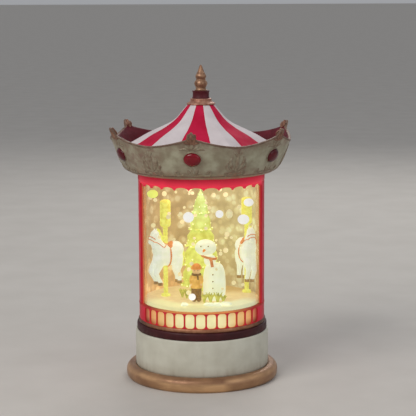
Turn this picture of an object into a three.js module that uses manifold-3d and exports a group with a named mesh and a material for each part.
// A table lantern in the shape of a fairground carousel, in millimetres, +Z up.
// The window faces -Y and the origin is at the middle of the underside.
import * as THREE from 'three';
import { mergeVertices } from 'three/addons/utils/BufferGeometryUtils.js';
import Module from 'manifold-3d';

const wasm = await Module();
wasm.setup();

// Driving dimensions
const FULL_TURN = 360;            // angles are in degrees, 0 at the front, positive towards +X
const ROUND_STEPS = 48;           // sides of a full round
const SEAM = 0.3;                 // gap between curved neighbours

const RING_RADIUS = 68.3;         // moulding that the lantern stands on
const RING_TOP = 12.6;
const RING_SEAT = 11.2;           // step inside the moulding that carries the drum
const RING_BORE = 55;
const DRUM_RADIUS = 59.8;
const DRUM_TOP = 43.8;
const COLLAR_RADIUS = 58.4;
const COLLAR_TOP = 50.6;
const BEAD_RADIUS = 57.2;
const BEAD_TOP = 54.2;

const WALL_RADIUS = 56.2;         // red housing round the water chamber
const WALL_THICKNESS = 2.8;
const LINER_THICKNESS = 1.2;      // glass, diffuser and backdrop inside the wall
const BALUSTRADE_THICKNESS = 1;   // thin, so that its slots are lit up to the edge
const RAIL_BOTTOM = 67.4;
const RAIL_TOP = 68.6;
const RAIL_PROUD = 0.3;
const WINDOW_TOP = 178;
const WINDOW_HALF_ANGLE = 72.5;
const PILLAR_OUTER_ANGLE = 83;
const BACK_WALLS = 4;
const LID_TOP = 184.8;

const SLOT_COUNT = 13;            // openings of the balustrade
const SLOT_PITCH = 9.73;
const SLOT_WIDTH = 8;
const SLOT_CORNER = 2.6;
const SLOT_BOTTOM = 54.5;
const SLOT_TOP = 67;
const SCALLOP_COUNT = 10;          // arches along the upper edge of the window
const SCALLOP_PITCH = 13.5;
const SCALLOP_TURN = 3.3;         // the row of arches starts a little to the right
const SCALLOP_WIDTH = 12.4;
const SCALLOP_RISE = 2.6;
const VALANCE_BOTTOM = 174.8;

const SNOW_RADIUS = 51.6;
const SNOW_EDGE = 71.6;
const SNOW_TOP = 74.5;
const SNOW_FLAT_RADIUS = 42;

const CROWN_TURN = -4.6;          // the crown is glued on slightly turned
const CROWN_PANELS = 6;
const PANEL_ANGLE = FULL_TURN / CROWN_PANELS;
const CROWN_FLOOR_RADIUS = 57.2;
const CROWN_FOOT_RADIUS = 65;
const CROWN_FOOT = 187.6;
const CROWN_RIM_LOW = 214.6;      // rim between two peaks
const CROWN_PEAK = 227.8;
const CROWN_THICKNESS = 2.6;
const LEAF_HEIGHT = 5;            // small tongue on top of each wave of the rim
const LEAF_HALF_ANGLE = 2.7;
const GEM_HEIGHT = 204.2;
const GEM_HALF_WIDTH = 7.6;
const GEM_HALF_HEIGHT = 6.4;
const GEM_DEPTH = 3.2;

const ROOF_TOP = 244.9;
const ROOF_TOP_RADIUS = 11.8;
const ROOF_EDGE = 206.2;
const ROOF_THICKNESS = 3;
const TENT_FLATNESS = 0.95;       // 0 is a round tent, 1 has six flat panels
const CAP_RING_TOP = 250.3;
const CAP_COLLAR_TOP = 257;
const FINIAL_TIP = 280;

const POLE_RADIUS = 2.2;
const POLE_SIDES = 12;
const KNOB_RADIUS = 5;           // long rounded knob at the top of a pole
const KNOB_BOTTOM = 137;
const KNOB_TOP = 161;
const HORSE_THICKNESS = 10;
const HORSE_FOOT = 80;            // height that the horse's outline is drawn from
const LEFT_HORSE_PLACE = new THREE.Vector2(-32, -8);
const RIGHT_HORSE_PLACE = new THREE.Vector2(40.7, 8);
const LEFT_HORSE_TURN = 215;       // both look out to the front
const RIGHT_HORSE_TURN = -72;
const TREE_TOP = 168;
const TREE_PLACE = new THREE.Vector2(-1, 14);
const SNOWMAN_PLACE = new THREE.Vector2(11.6, -24.5);
const CHILD_PLACE = new THREE.Vector2(-4, -34);

const radians = THREE.MathUtils.degToRad;
const point = (x, y) => new THREE.Vector2(x, y);

const paint = (color, roughness, metalness) =>
  new THREE.MeshStandardMaterial({ color, roughness, metalness });

const PAINT = {
  agedBronze: paint(0xa9714a, 0.45, 0.6),
  cream: paint(0xc9c8ae, 0.6, 0),
  maroon: paint(0x5c0f14, 0.4, 0),
  red: paint(0xc20d16, 0.35, 0),
  copper: paint(0x8a4a32, 0.4, 0.6),
  underside: paint(0x3a3634, 0.8, 0),
  warmLight: paint(0xffdf9a, 0.5, 0),
  glass: paint(0xfff3d0, 0.05, 0),
  backdrop: paint(0xc99a45, 0.4, 0),
  snow: paint(0xf4f2ea, 0.8, 0),
  tree: paint(0x8fa51f, 0.7, 0),
  gold: paint(0xc9952e, 0.35, 0.8),
  horse: paint(0xf1ece0, 0.4, 0),
  coat: paint(0xc07a35, 0.8, 0),
  antiqueCream: paint(0xb3ad8c, 0.6, 0),
  gem: paint(0x8e0710, 0.15, 0),
  tent: paint(0xf3e9e6, 0.4, 0),
};

const carousel = new THREE.Group();

function addPiece(name, geometry, material) {
  const mesh = new THREE.Mesh(geometry, material.clone());
  mesh.name = name;
  carousel.add(mesh);
  return mesh;
}

// Turns a solid round the upright axis and stands it at a place on the floor.
function place(mesh, spot, turn = 0) {
  mesh.rotation.z = radians(turn);
  mesh.position.set(spot.x, spot.y, 0);
}

// Shape helpers

// A full round from an outline of (radius, height) points that starts and ends on the axis.
function turned(outline, steps = ROUND_STEPS) {
  return new THREE.LatheGeometry(outline, steps).rotateX(Math.PI / 2);
}

// A rectangle as an outline that runs round the axis, from its inner lower corner.
function ringOutline(innerRadius, outerRadius, bottom, top) {
  return [
    point(innerRadius, bottom),
    point(outerRadius, bottom),
    point(outerRadius, top),
    point(innerRadius, top),
  ];
}

// A closed ring from an outline that stays off the axis.
function turnedRing(outline) {
  return turned([...outline, outline[0].clone()]);
}

// A disc whose outline gives only its rim, from the underside to the top.
function turnedDisc(rim, steps = ROUND_STEPS) {
  const bottom = point(0, rim[0].y);
  const top = point(0, rim[rim.length - 1].y);
  return turned([bottom, ...rim, top], steps);
}

// A sector of a round. sectionAt(angle) gives its (radius, height) section, and
// angles lists where the section is taken. Both ends are closed.
function sector(sectionAt, angles) {
  const count = sectionAt(angles[0]).length;
  const vertices = [];
  for (const angle of angles) {
    const direction = point(Math.sin(radians(angle)), -Math.cos(radians(angle)));
    for (const { x: radius, y: height } of sectionAt(angle)) {
      vertices.push(radius * direction.x, radius * direction.y, height);
    }
  }
  const triangles = [];
  for (let slice = 0; slice < angles.length - 1; slice += 1) {
    for (let corner = 0; corner < count; corner += 1) {
      const next = (corner + 1) % count;
      const here = slice * count;
      const beyond = here + count;
      triangles.push(here + corner, beyond + corner, here + next);
      triangles.push(beyond + corner, beyond + next, here + next);
    }
  }
  const last = (angles.length - 1) * count;
  const startFaces = THREE.ShapeUtils.triangulateShape(sectionAt(angles[0]), []);
  const endFaces = THREE.ShapeUtils.triangulateShape(sectionAt(angles.at(-1)), []);
  for (const [a, b, c] of startFaces) triangles.push(a, b, c);
  for (const [a, b, c] of endFaces) triangles.push(last + a, last + c, last + b);
  const geometry = new THREE.BufferGeometry();
  geometry.setAttribute('position', new THREE.Float32BufferAttribute(vertices, 3));
  geometry.setIndex(triangles);
  return geometry;
}

// Angles from one end of a sector to the other, in equal steps near the round's own step.
function evenAngles(start, end) {
  const steps = Math.max(1, Math.round((end - start) / (FULL_TURN / ROUND_STEPS)));
  return Array.from({ length: steps + 1 }, (_, i) => start + (i / steps) * (end - start));
}

function arcWall(innerRadius, outerRadius, bottom, top, start, end) {
  const outline = ringOutline(innerRadius, outerRadius, bottom, top);
  return sector(() => outline, evenAngles(start, end));
}

function asSolid(geometry) {
  const bare = geometry.clone();
  bare.deleteAttribute('normal');
  bare.deleteAttribute('uv');
  const welded = mergeVertices(bare);
  return new wasm.Manifold(new wasm.Mesh({
    numProp: 3,
    vertProperties: new Float32Array(welded.attributes.position.array),
    triVerts: new Uint32Array(welded.index.array),
  }));
}

function asGeometry(solid) {
  const { vertProperties, triVerts } = solid.getMesh();
  const geometry = new THREE.BufferGeometry();
  geometry.setAttribute('position', new THREE.BufferAttribute(vertProperties, 3));
  geometry.setIndex(new THREE.BufferAttribute(triVerts, 1));
  return geometry;
}

function cutAway(geometry, cutters) {
  return asGeometry(cutters.reduce((left, cutter) => left.subtract(asSolid(cutter)), asSolid(geometry)));
}

function joined(geometries) {
  return asGeometry(geometries.map(asSolid).reduce((whole, part) => whole.add(part)));
}

// A prism that runs out through the round wall at an angle. The outline is drawn as
// seen from outside, with its own x across and its y up.
function wallCutter(outline, angle) {
  const reach = 12;
  const prism = new THREE.ExtrudeGeometry(outline, { depth: reach, bevelEnabled: false, curveSegments: 4 });
  prism.rotateX(Math.PI / 2);
  prism.translate(0, reach / 2 - WALL_RADIUS, 0);
  return prism.rotateZ(radians(angle));
}

// Base
function addBase() {
  addPiece('base_ring', turnedRing([
    point(RING_BORE, 0),
    point(66.4, 0),
    point(67.9, 2.2),
    point(RING_RADIUS, 5.8),
    point(67.4, 9.6),
    point(64.8, 12.1),
    point(61.2, RING_TOP),
    point(60.6, RING_SEAT),
    point(RING_BORE, RING_SEAT),
  ]), PAINT.agedBronze);

  const plateBottom = 1.5;
  const plateTop = 4.5;
  addPiece('bottom_plate', turnedDisc([
    point(RING_BORE - SEAM, plateBottom),
    point(RING_BORE - SEAM, plateTop),
  ]), PAINT.underside);

  const coverOutline = new THREE.Shape();
  const coverHalf = point(32, 19);
  const coverCorner = 3;
  coverOutline.moveTo(-coverHalf.x + coverCorner, -coverHalf.y);
  coverOutline.lineTo(coverHalf.x - coverCorner, -coverHalf.y);
  coverOutline.lineTo(coverHalf.x, -coverHalf.y + coverCorner);
  coverOutline.lineTo(coverHalf.x, coverHalf.y - coverCorner);
  coverOutline.lineTo(coverHalf.x - coverCorner, coverHalf.y);
  coverOutline.lineTo(-coverHalf.x + coverCorner, coverHalf.y);
  coverOutline.lineTo(-coverHalf.x, coverHalf.y - coverCorner);
  coverOutline.lineTo(-coverHalf.x, -coverHalf.y + coverCorner);
  const coverThickness = 0.8;
  const cover = new THREE.ExtrudeGeometry(coverOutline, { depth: coverThickness, bevelEnabled: false });
  addPiece('battery_cover', cover.translate(0, 0, plateBottom - coverThickness), PAINT.underside);

  const edge = 0.6;
  addPiece('base_drum', turnedDisc([
    point(DRUM_RADIUS - edge, RING_SEAT),
    point(DRUM_RADIUS, RING_SEAT + edge),
    point(DRUM_RADIUS, DRUM_TOP - edge),
    point(DRUM_RADIUS - edge, DRUM_TOP),
  ]), PAINT.cream);
  addPiece('lower_collar', turnedDisc([
    point(COLLAR_RADIUS, DRUM_TOP),
    point(COLLAR_RADIUS, COLLAR_TOP - edge),
    point(COLLAR_RADIUS - edge, COLLAR_TOP),
  ]), PAINT.maroon);
  const beadMiddle = (COLLAR_TOP + BEAD_TOP) / 2;
  addPiece('collar_bead', turnedDisc([
    point(BEAD_RADIUS - 0.9, COLLAR_TOP),
    point(BEAD_RADIUS - 0.2, beadMiddle - 1),
    point(BEAD_RADIUS, beadMiddle),
    point(BEAD_RADIUS - 0.2, beadMiddle + 1),
    point(BEAD_RADIUS - 0.9, BEAD_TOP),
  ]), PAINT.copper);
}

// Balustrade, walls and window
const WALL_INNER = WALL_RADIUS - WALL_THICKNESS;
const LINER_OUTER = WALL_INNER - SEAM;
const LINER_INNER = LINER_OUTER - LINER_THICKNESS;
const SEAM_ANGLE = THREE.MathUtils.radToDeg(SEAM / WALL_RADIUS);

function slotOutline() {
  const across = SLOT_WIDTH / 2 - SLOT_CORNER;
  const low = SLOT_BOTTOM + SLOT_CORNER;
  const high = SLOT_TOP - SLOT_CORNER;
  const quarter = Math.PI / 2;
  const outline = new THREE.Shape();
  outline.absarc(across, high, SLOT_CORNER, 0, quarter);
  outline.absarc(-across, high, SLOT_CORNER, quarter, 2 * quarter);
  outline.absarc(-across, low, SLOT_CORNER, 2 * quarter, 3 * quarter);
  outline.absarc(across, low, SLOT_CORNER, 3 * quarter, 4 * quarter);
  return outline;
}

function addBalustrade() {
  const inner = WALL_RADIUS - BALUSTRADE_THICKNESS;
  const wall = arcWall(
    inner, WALL_RADIUS, BEAD_TOP, RAIL_BOTTOM, -PILLAR_OUTER_ANGLE, PILLAR_OUTER_ANGLE,
  );
  const slots = [];
  for (let slot = 0; slot < SLOT_COUNT; slot += 1) {
    slots.push(wallCutter(slotOutline(), (slot - (SLOT_COUNT - 1) / 2) * SLOT_PITCH));
  }
  addPiece('balustrade', cutAway(wall, slots), PAINT.red);

  const diffuserEnd = PILLAR_OUTER_ANGLE - 10;
  addPiece('balustrade_light', arcWall(
    LINER_INNER, inner - SEAM, BEAD_TOP, RAIL_BOTTOM, -diffuserEnd, diffuserEnd,
  ), PAINT.warmLight);

  const backStart = PILLAR_OUTER_ANGLE + SEAM_ANGLE;
  const back = FULL_TURN / 2;
  addPiece('lower_wall_right', arcWall(
    WALL_INNER, WALL_RADIUS, BEAD_TOP, RAIL_BOTTOM, backStart, back - SEAM_ANGLE / 2,
  ), PAINT.red);
  addPiece('lower_wall_left', arcWall(
    WALL_INNER, WALL_RADIUS, BEAD_TOP, RAIL_BOTTOM, back + SEAM_ANGLE / 2, FULL_TURN - backStart,
  ), PAINT.red);

  addPiece('rail', turnedRing(ringOutline(
    LINER_INNER, WALL_RADIUS + RAIL_PROUD, RAIL_BOTTOM, RAIL_TOP,
  )), PAINT.maroon);
}

function addWalls() {
  const start = WINDOW_HALF_ANGLE;
  const end = PILLAR_OUTER_ANGLE;
  addPiece('right_pillar', arcWall(
    WALL_INNER, WALL_RADIUS, RAIL_TOP, WINDOW_TOP, start, end,
  ), PAINT.red);
  addPiece('left_pillar', arcWall(
    WALL_INNER, WALL_RADIUS, RAIL_TOP, WINDOW_TOP, -end, -start,
  ), PAINT.red);

  const span = (FULL_TURN - 2 * end) / BACK_WALLS;
  for (let wall = 0; wall < BACK_WALLS; wall += 1) {
    const from = end + wall * span + SEAM_ANGLE;
    addPiece(`back_wall_${wall + 1}`, arcWall(
      WALL_INNER, WALL_RADIUS, RAIL_TOP, WINDOW_TOP, from, end + (wall + 1) * span,
    ), PAINT.red);
  }

  addPiece('tank_lid', turnedDisc([
    point(WALL_RADIUS, WINDOW_TOP),
    point(WALL_RADIUS + 0.3, (WINDOW_TOP + LID_TOP) / 2),
    point(WALL_RADIUS, LID_TOP),
  ]), PAINT.red);
}

function addWindow() {
  const glassEnd = WINDOW_HALF_ANGLE + 4;
  addPiece('window_glass', arcWall(
    LINER_INNER, LINER_OUTER, RAIL_TOP, WINDOW_TOP, -glassEnd, glassEnd,
  ), PAINT.glass);
  addPiece('backdrop', arcWall(
    LINER_INNER, LINER_OUTER, RAIL_TOP, WINDOW_TOP, glassEnd + SEAM_ANGLE, FULL_TURN - glassEnd - SEAM_ANGLE,
  ), PAINT.backdrop);

  const valanceEnd = WINDOW_HALF_ANGLE - SEAM_ANGLE;
  const valance = arcWall(
    WALL_INNER, WALL_RADIUS, VALANCE_BOTTOM, WINDOW_TOP, -valanceEnd, valanceEnd,
  );
  const hollow = new THREE.Shape();
  hollow.absellipse(0, VALANCE_BOTTOM, SCALLOP_WIDTH / 2, SCALLOP_RISE, 0, 2 * Math.PI);
  const hollows = [];
  for (let arch = 0; arch < SCALLOP_COUNT; arch += 1) {
    const angle = (arch - (SCALLOP_COUNT - 1) / 2) * SCALLOP_PITCH + SCALLOP_TURN;
    hollows.push(wallCutter(hollow, angle));
  }
  addPiece('valance', cutAway(valance, hollows), PAINT.red);
}

// Scene in the water chamber
function horseOutline() {
  const outline = new THREE.Shape();
  outline.moveTo(17, 42);
  outline.quadraticCurveTo(17.5, 46, 14, 50);
  outline.lineTo(11.5, 57.5);
  outline.lineTo(9, 53.5);
  outline.quadraticCurveTo(5.5, 50, 3.5, 44);
  outline.quadraticCurveTo(-4, 41.5, -11, 43.5);
  outline.quadraticCurveTo(-19, 43, -18, 30);
  outline.lineTo(-14.5, 27);
  outline.lineTo(-14, 19);
  outline.lineTo(-17, 10);
  outline.lineTo(-16, 4.5);
  outline.lineTo(-11.5, 4.5);
  outline.lineTo(-12, 10);
  outline.lineTo(-8, 21);
  outline.quadraticCurveTo(-2, 18.5, 4, 20.5);
  outline.lineTo(9, 16.5);
  outline.lineTo(4.5, 8);
  outline.lineTo(7.5, 4.5);
  outline.lineTo(14.5, 17.5);
  outline.lineTo(11, 27);
  outline.quadraticCurveTo(12.5, 34, 11.5, 41);
  outline.lineTo(14.5, 39.5);
  outline.closePath();
  return outline;
}

function addHorse(side, spot, turn) {
  const bevel = 1.6;
  const body = new THREE.ExtrudeGeometry(horseOutline(), {
    depth: HORSE_THICKNESS - 2 * bevel,
    bevelSize: bevel / 2,
    bevelOffset: -bevel / 2,
    bevelThickness: bevel,
    bevelSegments: 1,
    curveSegments: 3,
  });
  body.translate(0, 0, bevel - HORSE_THICKNESS / 2);
  body.rotateX(Math.PI / 2);
  body.translate(0, 0, HORSE_FOOT);
  const poleLength = KNOB_BOTTOM - SNOW_TOP;
  const hole = new THREE.CylinderGeometry(POLE_RADIUS + SEAM, POLE_RADIUS + SEAM, poleLength, POLE_SIDES);
  hole.rotateX(Math.PI / 2);
  hole.translate(0, 0, SNOW_TOP + poleLength / 2);
  place(addPiece(`${side}_horse`, cutAway(body, [hole]), PAINT.horse), spot, turn);

  const shoulder = 3;
  place(addPiece(`${side}_pole`, turned([
    point(0, SNOW_TOP),
    point(POLE_RADIUS, SNOW_TOP),
    point(POLE_RADIUS, KNOB_BOTTOM),
    point(KNOB_RADIUS - 0.8, KNOB_BOTTOM + shoulder / 2),
    point(KNOB_RADIUS, KNOB_BOTTOM + shoulder),
    point(KNOB_RADIUS, KNOB_TOP - shoulder),
    point(KNOB_RADIUS - 0.8, KNOB_TOP - shoulder / 2),
    point(KNOB_RADIUS / 2, KNOB_TOP),
    point(0, KNOB_TOP),
  ], POLE_SIDES), PAINT.gold), spot);
}

function addTree() {
  const trunkRadius = 3;
  const tiers = [
    { radius: 20, bottom: 80, neck: trunkRadius },
    { radius: 18.5, bottom: 99, neck: 11 },
    { radius: 15.5, bottom: 116, neck: 9.5 },
    { radius: 12, bottom: 131, neck: 7.5 },
    { radius: 9, bottom: 146, neck: 5 },
  ];
  const rim = [point(trunkRadius, SNOW_TOP)];
  for (const { radius, bottom, neck } of tiers) {
    rim.push(point(neck, bottom));
    rim.push(point(radius, bottom));
  }
  rim.push(point(0, TREE_TOP));
  place(addPiece('tree', turned([point(0, SNOW_TOP), ...rim], 14), PAINT.tree), TREE_PLACE);
}

function addSnowman() {
  const body = turned([
    point(0, SNOW_TOP),
    point(8, SNOW_TOP),
    point(9.8, 79),
    point(10, 92),
    point(8.8, 101),
    point(5.5, 106.5),
    point(0, 108),
  ], 16);
  const ball = (across, height, halfWidth, halfDepth, halfHeight) =>
    new THREE.SphereGeometry(1, 16, 10).rotateX(Math.PI / 2)
      .scale(halfWidth, halfDepth, halfHeight).translate(across, 0, height);
  const neck = ball(-3.8, 109.5, 5.5, 5.5, 5.5);
  const head = ball(-7.6, 120.6, 9.6, 8.5, 7.4);
  place(addPiece('snowman', joined([body, neck, head]), PAINT.snow), SNOWMAN_PLACE);
}

function addChild() {
  const legLength = 14;
  const legs = [-2, 2].map((side) => {
    const leg = new THREE.CylinderGeometry(1.7, 2, legLength, 10).rotateX(Math.PI / 2);
    return leg.translate(side, 0, SNOW_TOP + legLength / 2);
  });
  const coat = turned([
    point(0, 86),
    point(5.6, 86),
    point(5, 92),
    point(4.2, 98.5),
    point(0, 99.5),
  ], 14);
  const head = new THREE.SphereGeometry(4, 14, 8).rotateX(Math.PI / 2).translate(0, 0, 102);
  const cap = turned([
    point(0, 103.5),
    point(4.6, 103.5),
    point(4.3, 105.5),
    point(2.2, 108),
    point(0, 109),
  ], 14);
  place(addPiece('child_figure', joined([...legs, coat, head, cap]), PAINT.coat), CHILD_PLACE);
}

function addChamberScene() {
  addPiece('snow_floor', turnedDisc([
    point(SNOW_RADIUS, BEAD_TOP),
    point(SNOW_RADIUS, SNOW_EDGE),
    point((SNOW_RADIUS + SNOW_FLAT_RADIUS) / 2, (SNOW_EDGE + SNOW_TOP) / 2 + 0.6),
    point(SNOW_FLAT_RADIUS, SNOW_TOP),
  ]), PAINT.snow);
  addTree();
  addHorse('left', LEFT_HORSE_PLACE, LEFT_HORSE_TURN);
  addHorse('right', RIGHT_HORSE_PLACE, RIGHT_HORSE_TURN);
  addSnowman();
  addChild();
}

// Crown
function flareRadius(height) {
  const rise = height - CROWN_FOOT;
  const slope = 0.4;
  const bulge = 3.7;
  const bulgeRise = 2.4;
  const peakLean = 0.15 * Math.max(0, height - CROWN_RIM_LOW);
  return CROWN_FOOT_RADIUS + slope * rise + bulge * (1 - Math.exp(-rise / bulgeRise)) + peakLean;
}

// Height of the rim at an angle from the middle of a panel: a wave with a leaf on top.
function rimHeight(offset) {
  const wave = (1 - Math.abs(offset) / (PANEL_ANGLE / 2)) ** 1.7;
  const leaf = Math.max(0, 1 - (Math.abs(offset) / LEAF_HALF_ANGLE) ** 1.6);
  return CROWN_RIM_LOW + (CROWN_PEAK - CROWN_RIM_LOW - LEAF_HEIGHT) * wave + LEAF_HEIGHT * leaf;
}

function crownSection(offset) {
  const top = rimHeight(offset);
  const rises = [0, 2.4, 8, 16.4, 21.4];
  const heights = [...rises.map((rise) => CROWN_FOOT + rise), top];
  const outer = heights.map((height) => point(flareRadius(height), height));
  const inner = heights.map((height) => point(flareRadius(height) - CROWN_THICKNESS, height));
  return [...outer, ...inner.reverse()];
}

function addCrown() {
  addPiece('crown_floor', turnedDisc([
    point(CROWN_FLOOR_RADIUS, LID_TOP),
    point(60.5, 185.4),
    point(63.6, 186.4),
    point(CROWN_FOOT_RADIUS, CROWN_FOOT),
  ]), PAINT.antiqueCream);

  const seam = THREE.MathUtils.radToDeg(SEAM / flareRadius(CROWN_PEAK)) / 2;
  const half = [1.2, 2.1, LEAF_HALF_ANGLE, 7, 13, 21, PANEL_ANGLE / 2 - seam];
  const offsets = [...half.map((offset) => -offset).reverse(), 0, ...half];
  const tilt = Math.atan((flareRadius(GEM_HEIGHT + 1) - flareRadius(GEM_HEIGHT - 1)) / 2);
  for (let panel = 0; panel < CROWN_PANELS; panel += 1) {
    const middle = CROWN_TURN + panel * PANEL_ANGLE;
    addPiece(`crown_panel_${panel + 1}`, sector(
      (angle) => crownSection(angle - middle), offsets.map((offset) => middle + offset),
    ), PAINT.antiqueCream);

    const gem = addPiece(`crown_gem_${panel + 1}`, gemDome(), PAINT.gem);
    const seat = flareRadius(GEM_HEIGHT) + SEAM;
    gem.rotation.set(Math.PI / 2 + tilt, 0, radians(middle), 'ZXY');
    gem.position.set(seat * Math.sin(radians(middle)), -seat * Math.cos(radians(middle)), GEM_HEIGHT);
  }
}

// A half ellipsoid with a flat back in the XY plane.
function gemDome() {
  const rings = 3;
  const dome = [point(0, 0)];
  for (let ring = 0; ring < rings; ring += 1) {
    const angle = (ring / rings) * (Math.PI / 2);
    dome.push(point(Math.cos(angle), Math.sin(angle)));
  }
  dome.push(point(0, 1));
  return turned(dome, 16).scale(GEM_HALF_WIDTH, GEM_HALF_HEIGHT, GEM_DEPTH);
}

// Roof and finial
// An angle round the axis, measured from the middle of the panel that it falls on
function panelOffset(angle) {
  return THREE.MathUtils.euclideanModulo(angle - CROWN_TURN + PANEL_ANGLE / 2, PANEL_ANGLE) - PANEL_ANGLE / 2;
}

// How far the round tent is drawn in to six flat panels, by the radius of its ridges
function panelShare(radius) {
  const { smoothstep } = THREE.MathUtils;
  const [roundTop, flatTop, flatFoot, roundFoot] = [21, 40, 61, 71];
  return TENT_FLATNESS * smoothstep(radius, roundTop, flatTop) * (1 - smoothstep(radius, flatFoot, roundFoot));
}

function drawnInPanels(geometry) {
  const position = geometry.getAttribute('position');
  const ridge = Math.cos(radians(PANEL_ANGLE / 2));
  for (let index = 0; index < position.count; index += 1) {
    const x = position.getX(index);
    const y = position.getY(index);
    const angle = THREE.MathUtils.radToDeg(Math.atan2(x, -y));
    const flat = ridge / Math.cos(radians(panelOffset(angle)));
    const scale = 1 - panelShare(Math.hypot(x, y)) * (1 - flat);
    position.setXY(index, x * scale, y * scale);
  }
  return geometry;
}

function addRoof() {
  const ridgeLine = [
    point(flareRadius(ROOF_EDGE) - CROWN_THICKNESS - 1.5 * SEAM, ROOF_EDGE),
    point(64.5, 210),
    point(56.2, 214.6),
    point(49.7, 218.4),
    point(42.4, 222),
    point(34.5, 225.6),
    point(27.5, 229),
    point(22.2, 232.8),
    point(17.6, 238),
    point(ROOF_TOP_RADIUS, ROOF_TOP),
  ];
  const lining = ridgeLine.map(({ x, y }) => point(x - 1.4, y - ROOF_THICKNESS)).reverse();
  const tent = turned([
    point(0, ROOF_TOP - ROOF_THICKNESS),
    ...lining,
    ...ridgeLine,
    point(0, ROOF_TOP),
  ]).rotateZ(radians(CROWN_TURN));
  addPiece('tent_roof', drawnInPanels(tent), PAINT.tent);

  const smallSteps = 24;
  addPiece('roof_ring', turnedDisc([
    point(12.4, ROOF_TOP),
    point(12.7, 245.6),
    point(12.1, 246.4),
    point(10.4, 247.4),
    point(9.2, 248.8),
    point(8.6, CAP_RING_TOP),
  ], smallSteps), PAINT.gold);
  addPiece('finial_collar', turnedDisc([
    point(7.6, CAP_RING_TOP),
    point(7.3, 253.5),
    point(7.6, CAP_COLLAR_TOP),
  ], smallSteps), PAINT.maroon);
  addPiece('finial', turned([
    point(0, CAP_COLLAR_TOP),
    point(5.3, CAP_COLLAR_TOP),
    point(4.5, 258.8),
    point(4.7, 260.4),
    point(5.8, 262.8),
    point(5.6, 264.6),
    point(4.1, 266.6),
    point(4.7, 268.8),
    point(4.4, 270.6),
    point(3.2, 273),
    point(2.1, 276),
    point(0.9, 279.2),
    point(0, FINIAL_TIP),
  ], 20), PAINT.gold);
}

addBase();
addBalustrade();
addWalls();
addWindow();
addChamberScene();
addCrown();
addRoof();

export default carousel;
